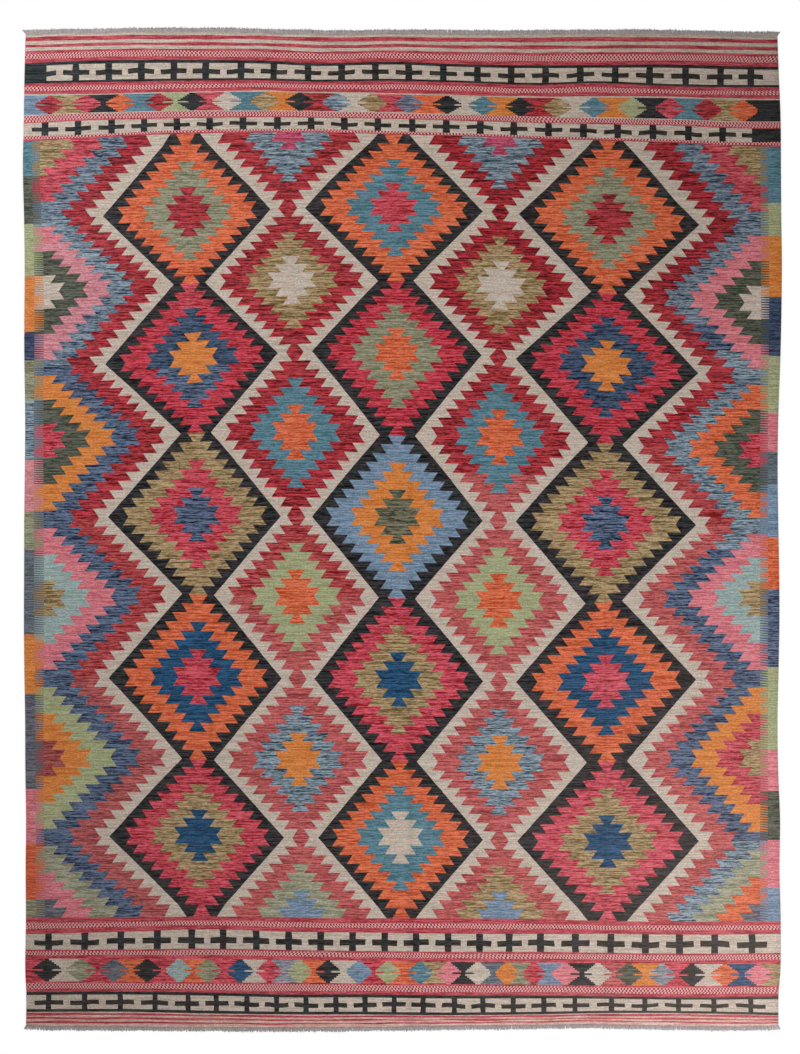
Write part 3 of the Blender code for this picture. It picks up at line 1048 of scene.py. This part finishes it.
def build_fringe(side, shift, name):
    """The cut warps past one end of the cloth, as one mesh of thin strands that lie on the floor."""
    chance = random.Random(SEED + side)
    verts, faces, shades, places = [], [], [], []
    left, right = (selvedge_x(end, end_y(side, end * HALF_WIDTH)) for end in (-1, 1))
    count = int((right - left) * MM / STRAND_PITCH)
    per_band = math.ceil(count * STRAND_LAYERS / MAP_BANDS)
    steps = STRAND_POINTS - 1
    for number in range(STRAND_LAYERS * count):
        share = (number % count + 0.5 + chance.uniform(-STRAND_JITTER, STRAND_JITTER)) / count
        x = left + (right - left) * share
        root = Vector((x * MM - shift[0], end_y(side, x) * MM - shift[1] + side * FRINGE_GAP, 0))
        tuft = noise.noise(Vector((x * MM * TUFT_RATE, side * TUFT_SEED, TUFT_LANE)))
        drift = noise.noise(Vector((x * MM * DRIFT_RATE, side * DRIFT_SEED, DRIFT_LANE)))
        length = STRAND_LENGTH * (TUFT_SHORT + TUFT_SPAN * tuft)
        length += chance.uniform(-1, 1) * STRAND_LENGTH_SPREAD
        if chance.random() < LONG_STRANDS:
            length += LONG_STRAND_EXTRA
        lean = STRAND_LEAN * (DRIFT_LEAN * drift + chance.uniform(-1, 1))
        lean += CORNER_LEAN * ((share - 0.5) * 2) ** CORNER_LEAN_POWER
        bend = chance.uniform(-STRAND_BEND, STRAND_BEND)
        base = FIRST_LAYER_HEIGHT if number < count else UPPER_LAYER_HEIGHT
        shade = chance.random()
        start = len(verts)
        band, slot = divmod(number, per_band)
        across = [(slot + place) / per_band for place in MAP_STRAND]
        along = [MAP_MARGIN + (1 - 2 * MAP_MARGIN) * i / steps for i in range(STRAND_POINTS)]
        along = [(band + place) / MAP_BANDS for place in along]
        for i in range(STRAND_POINTS):
            t = i / steps
            sideways = length * (lean * t + bend * t * t * BEND_SHARE)
            centre = root + Vector((sideways, side * length * t, 0))
            radius = STRAND_RADIUS + (STRAND_TIP_RADIUS - STRAND_RADIUS) * t
            floor = radius * STRAND_CLEARANCE
            z = max(floor, base + (floor - base) * t ** STRAND_DROP)
            for s in range(STRAND_SIDES):
                angle = 2 * math.pi * (s + STRAND_TURN) / STRAND_SIDES
                out, up = radius * math.cos(angle), radius * math.sin(angle)
                verts.append((centre.x + out, centre.y, z + up))
        for i in range(steps):
            for s in range(STRAND_SIDES):
                a = start + i * STRAND_SIDES + s
                b = start + i * STRAND_SIDES + (s + 1) % STRAND_SIDES
                faces.append((a, b, b + STRAND_SIDES, a + STRAND_SIDES)[::-side])
                corners = ((0, i), (1, i), (1, i + 1), (0, i + 1))
                places += [(across[u], along[v]) for u, v in corners][::-side]
        first = tuple(start + s for s in range(STRAND_SIDES))
        final = tuple(start + steps * STRAND_SIDES + s for s in range(STRAND_SIDES))
        faces += [first[::side], final[::-side]]
        cap = [across[0] + (across[1] - across[0]) * s / STRAND_SIDES for s in range(STRAND_SIDES)]
        places += [(place, end) for end in (along[0], along[-1]) for place in cap]
        shades += [shade] * (steps * STRAND_SIDES + 2)
    mesh = smooth_mesh(name, verts, faces, places)
    face_values(mesh, "tone", "FLOAT", "value", shades)
    return put_in_scene(name, mesh)


class Wire:
    """A number or a colour that a material's nodes work out, to reckon with as with a number."""

    def __init__(self, nodes, socket):
        self.nodes = nodes
        self.socket = socket

    def __add__(self, other):
        return self.nodes.math("ADD", self, other)

    def __sub__(self, other):
        return self.nodes.math("SUBTRACT", self, other)

    def __rsub__(self, other):
        return self.nodes.math("SUBTRACT", other, self)

    def __mul__(self, other):
        return self.nodes.math("MULTIPLY", self, other)

    def __truediv__(self, other):
        return self.nodes.math("DIVIDE", self, other)


class Nodes:
    """A short way to write a material's nodes."""

    def __init__(self, name):
        self.material = bpy.data.materials.new(name)
        self.material.use_nodes = True
        self.tree = self.material.node_tree
        self.shader = self.tree.nodes["Principled BSDF"]

    def put(self, socket, value):
        if isinstance(value, Wire):
            self.tree.links.new(value.socket, socket)
        elif value is not None:
            socket.default_value = value

    def make(self, kind, *values, output=0, **settings):
        """One output of a new node that has these settings, and these values on its inputs."""
        node = self.tree.nodes.new("ShaderNode" + kind)
        for name, setting in settings.items():
            setattr(node, name, setting)
        for socket, value in zip(node.inputs, values):
            self.put(socket, value)
        return Wire(self, node.outputs[output])

    def math(self, operation, *values):
        return self.make("Math", *values, operation=operation)

    def colours(self, operation, first, second):
        return self.make("VectorMath", first, second, operation=operation)

    def scaled(self, colour, factor):
        return self.make("VectorMath", colour, None, None, factor, operation="SCALE")

    def attribute(self, name, output="Fac"):
        return self.make("Attribute", output=output, attribute_name=name)

    def place(self):
        """X and Y in metres."""
        place = self.make("TexCoord", output="Object")
        return [self.make("SeparateXYZ", place, output=axis) for axis in "XY"]

    def noise(self, x, y, lane, detail=1.0, roughness=0.5):
        """Soft noise, with features one unit of x and y apart. Each lane has noise of its own."""
        return self.make("TexNoise", self.make("CombineXYZ", x, y, lane), None, 1.0, detail, roughness)

    def spread(self, value, low, high, to_low=0.0, to_high=1.0):
        """A value's span taken to another one, and held inside it."""
        return self.make("MapRange", value, low, high, to_low, to_high)

    def vary(self, noise, low, high):
        """Noise taken to a span."""
        return self.spread(noise, *NOISE_SPAN, low, high)

    def mix(self, share, first, second):
        values = [share] + [None] * (MIX_COLOURS - 1) + [first, second]
        return self.make("Mix", *values, output=MIX_RESULT, data_type="RGBA")

    def wool_finish(self, colour, height, distance, roughness):
        """The dull, slightly hairy surface of wool or cotton."""
        bump = self.tree.nodes.new("ShaderNodeBump")
        bump.inputs["Distance"].default_value = distance
        self.put(bump.inputs["Height"], height)
        values = {
            "Base Color": colour, "Roughness": roughness, "Normal": Wire(self, bump.outputs[0]),
            "Specular IOR Level": WOOL_SPECULAR, "Sheen Weight": WOOL_SHEEN,
            "Sheen Roughness": SHEEN_ROUGHNESS,
        }
        for name, value in values.items():
            self.put(self.shader.inputs[name], value)


def painted_light_falloff(m, x, y):
    """The share of light painted on the rug at a place, as painted shade, and the painted pale haze of
    light over it.
    """
    u, v = x / LIGHT_FALLOFF_SPAN[0], y / LIGHT_FALLOFF_SPAN[1]
    # Painted shade where the light falls off over the rug.
    kept = m.math("POWER", math.e, u * v * LIGHT_FALLOFF_CROSS + v * LIGHT_FALLOFF_ALONG + u * LIGHT_FALLOFF_ACROSS) / LIGHT_GAIN
    right, far = (m.math("MAXIMUM", part, 0.0) for part in (u, v))
    left, near = (m.math("MAXIMUM", part * -1.0, 0.0) for part in (u, v))
    corners = (right * near, right * far, left * near, left * far)
    # Painted shade: the corners darker still.
    for painted_shade, corner in zip(CORNER_PAINTED_SHADES, corners):
        kept = kept * (corner * -painted_shade + 1.0)
    # Painted shade along the fold creases, from where each begins to the near end.
    for place, half, painted_shade, start in FOLD_PAINTED_SHADES:
        crease = m.spread(m.math("ABSOLUTE", x - place), 0.0, half, painted_shade, 0.0)
        kept = kept * (1.0 - crease * m.spread(y, start - FOLD_SHADE_RAMP, start, 1.0, 0.0))
    # A painted pale haze of light over the ends and two corners.
    painted_haze = (0, 0, 0)
    for tint, area in zip(PAINTED_HAZES, (near * near, far, corners[0], corners[-1])):
        painted_haze = m.colours("ADD", painted_haze, m.scaled([part / LIGHT_GAIN for part in tint], area))
    return kept, painted_haze


def combing(m, x, y):
    """How far a place in a combed join lies past the edge of its tooth, as a share of the teeth's
    pitch. The teeth are ragged, and grow narrower to one side."""
    teeth = y * (x * -COMB_TEETH_LOST + COMB_TEETH)
    ragged = m.noise(x, m.math("FLOOR", teeth) * COMB_STEP, TOOTH_LANE, 0.0)
    reach = ragged * COMB_RAGGED + m.attribute("reach")
    return m.math("FRACT", teeth) - (reach * -COMB_TAPER + (0.5 + COMB_TAPER * (0.5 + COMB_RAGGED / 2)))


def twining(m, x, y, weft):
    """Whether a place in a twined band shows its light cord or its dark one."""
    row = m.math("FLOOR", weft / TWINE_ROW)
    loose = m.noise(x * TWINE_LOOSE_RATES[0], y * TWINE_LOOSE_RATES[1], LOOSE_LANE)
    slack = m.noise(x * TWINE_SLACK_RATES[0], y * TWINE_SLACK_RATES[1], SLACK_LANE, 0.0)
    turn = x / TWINE_PITCH + loose * TWINE_LOOSE + slack * TWINE_SLACK + row * 0.5
    return m.math("GREATER_THAN", m.math("FRACT", turn), TWINE_DARK)


def kilim_material():
    """Weft-faced wool: streaked dyes, combed side joins and twined bands over a ribbed weave."""
    m = Nodes("kilim_wool_woven")
    x, y = m.place()
    lot, craft = m.attribute("lot"), m.attribute("craft")
    is_comb, is_twine = (m.math("COMPARE", craft, float(kind), SAME_CRAFT) for kind in (COMB, TWINE))
    shift = lot * LOT_SHIFT
    weft = y + m.noise(x * WEFT_RATES[0], y * WEFT_RATES[1], WEFT_LANE, 0.0) * WEFT_BEND
    fine = m.noise(x * STREAKS_ACROSS + shift, weft * STREAKS_ALONG + shift, lot, 2.0, STREAK_ROUGHNESS)
    long = m.noise(x * LONG_ACROSS + shift, weft * LONG_ALONG + shift, LONG_LANE)
    streak = m.spread(fine * 0.5 + long * 0.5, *STREAK_SPREAD)
    beside = combing(m, x, y)
    share = m.mix(is_comb, streak, m.math("GREATER_THAN", beside, 0.0))
    share = m.mix(is_twine, share, twining(m, x, y, weft))
    wool = m.mix(share, m.attribute("dye_dark", "Color"), m.attribute("dye_light", "Color"))
    across, along = x * HUE_ACROSS + shift, weft * HUE_ALONG + shift
    red, blue = (m.noise(across, along, lane) for lane in (RED_LANE, BLUE_LANE))
    turns = ((red, RED_DRIFT, RED_CAST), (red, -GREEN_DRIFT, -GREEN_CAST), (blue, BLUE_DRIFT, BLUE_CAST))
    drifts = m.make("CombineXYZ", *[m.vary(noise, 1 - drift, 1 + drift) for noise, drift, cast in turns])
    casts = m.make("CombineXYZ", *[m.vary(noise, -cast, cast) for noise, drift, cast in turns])
    wool = m.colours("ADD", m.colours("MULTIPLY", wool, drifts), casts)
    grain = m.vary(m.noise(x * GRAIN_RATES[0], y * GRAIN_RATES[1], GRAIN_LANE), *GRAIN_SPAN)
    cut = m.spread(m.math("ABSOLUTE", beside), 0.0, COMB_CUT, COMB_CUT_LIGHT, 1.0)
    grain = grain * (is_comb * (cut - 1.0) + 1.0)
    rib = m.math("PINGPONG", x, RIB_PITCH / 2) / (RIB_PITCH / 2)
    pick = m.math("PINGPONG", rib * PICK_SLANT + y, PICK_PITCH / 2) / (PICK_PITCH / 2)
    # Painted shade and a painted haze of light over the rug.
    kept, painted_haze = painted_light_falloff(m, x, y)
    # Painted shade in the weave's grooves, with the painted light falloff.
    wool = m.scaled(wool, grain * m.spread(rib, *RIB_GROOVE_SHADE) * kept)
    wool = m.colours("MAXIMUM", m.colours("ADD", wool, painted_haze), DARKEST)
    height = rib * RIB_RELIEF + pick * PICK_RELIEF + streak * STREAK_RELIEF
    m.wool_finish(wool, height, WEAVE_DEPTH, m.spread(grain, *GRAIN_SPAN, *WOOL_ROUGHNESS))
    return m.material


def fringe_material():
    """Undyed warp ends, greyed and slightly different from strand to strand."""
    m = Nodes("warp_ends")
    x, y = m.place()
    # Painted shade where the light falls off over the fringes.
    kept = m.math("POWER", math.e, x / LIGHT_FALLOFF_SPAN[0] * (y / LIGHT_FALLOFF_SPAN[1]) * FRINGE_LIGHT_FALLOFF)
    tone = m.attribute("tone")
    hair = m.noise(x * HAIR_RATES[0], y * HAIR_RATES[1], tone, 2.0)
    dirt = m.noise(x * DIRT_RATES[0], y * DIRT_RATES[1], DIRT_LANE, 2.0)
    share = tone * TONE_SHARE + hair * HAIR_SHARE + m.vary(dirt, 0.0, DIRT_SHARE)
    dark, light = ([linear(v) / LIGHT_GAIN for v in tint] + [1] for tint in FRINGE_TONES)
    colour = m.scaled(m.mix(share, dark, light), kept)
    m.wool_finish(colour, hair, HAIR_DEPTH, m.vary(hair, *WARP_ROUGHNESS))
    return m.material


def floor_material():
    """A plain pale floor with a hint of unevenness."""
    m = Nodes("pale_floor")
    x, y = m.place()
    cloud = m.noise(x * FLOOR_RATE, y * FLOOR_RATE, 0.0, 2.0)
    m.put(m.shader.inputs["Base Color"], m.mix(cloud, *[(tone, tone, tone, 1) for tone in FLOOR_TONES]))
    m.shader.inputs["Roughness"].default_value = FLOOR_ROUGHNESS
    m.shader.inputs["Specular IOR Level"].default_value = FLOOR_SPECULAR
    return m.material


def lay_floor():
    """A wide floor at the rug's underside."""
    mesh = bpy.data.meshes.new("floor")
    corners = [(x * FLOOR_HALF, y * FLOOR_HALF, 0) for x, y in ((-1, -1), (1, -1), (1, 1), (-1, 1))]
    mesh.from_pydata(corners, [], [(0, 1, 2, 3)])
    mesh.materials.append(floor_material())
    floor = put_in_scene("floor", mesh)
    floor.location.z = -FLOOR_DROP


def light_scene():
    """Soft light from all round, and a broad sun over the left shoulder."""
    world = bpy.data.worlds.new("studio")
    world.use_nodes = True
    background = world.node_tree.nodes["Background"]
    background.inputs["Color"].default_value = (1, 1, 1, 1)
    background.inputs["Strength"].default_value = SKY_LIGHT * LIGHT_GAIN
    bpy.context.scene.world = world
    sun = bpy.data.lights.new("key", "SUN")
    sun.angle = SUN_WIDTH
    sun.energy = SUN_LIGHT * LIGHT_GAIN * math.pi / math.cos(SUN_TILT)
    put_in_scene("key", sun).rotation_euler = (SUN_TILT * SUN_TURN[0], SUN_TILT * SUN_TURN[1], 0)


def look_down(shift):
    """A camera straight above, framed as the photograph is."""
    zero = CHART_ZERO_IN_PHOTO
    x = (PHOTO_WIDTH / 2 - zero[0]) * PHOTO_PIXEL - shift[0]
    y = (zero[1] - PHOTO_HEIGHT / 2) * PHOTO_PIXEL - shift[1]
    data = bpy.data.cameras.new("camera")
    data.sensor_width = SENSOR
    data.lens = SENSOR * CAMERA_HEIGHT / (PHOTO_HEIGHT * PHOTO_PIXEL)
    data.clip_end = CLIP_END
    camera = put_in_scene("camera", data)
    camera.location = (x, y, CLOTH_THICKNESS + CAMERA_HEIGHT)
    bpy.context.scene.camera = camera


def main():
    low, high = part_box("woven_cloth")
    own = outline_middle()
    shift = (own[0] - (low.x + high.x) / 2, own[1] - (low.y + high.y) / 2)
    chance = random.Random(SEED * 2)
    courses = far_border(chance) + field_courses(chance) + near_border(chance)
    cloth = build_cloth(courses, shift)
    cloth.data.materials.append(kilim_material())
    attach(cloth, "root")
    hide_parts("woven_cloth")
    warp = fringe_material()
    fringes = []
    for side, name, node in FRINGES:
        fringe = build_fringe(side, shift, name)
        fringe.data.materials.append(warp)
        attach(fringe, "root")
        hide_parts(node)
        fringes.append(fringe)
    lay_floor()
    light_scene()
    look_down(shift)
    settings = bpy.context.scene.view_settings
    settings.view_transform = "Standard"
    settings.look = "None"
    triangles = {o.name: sum(len(p.vertices) - 2 for p in o.data.polygons) for o in [cloth] + fringes}
    print("triangles", triangles)


main()
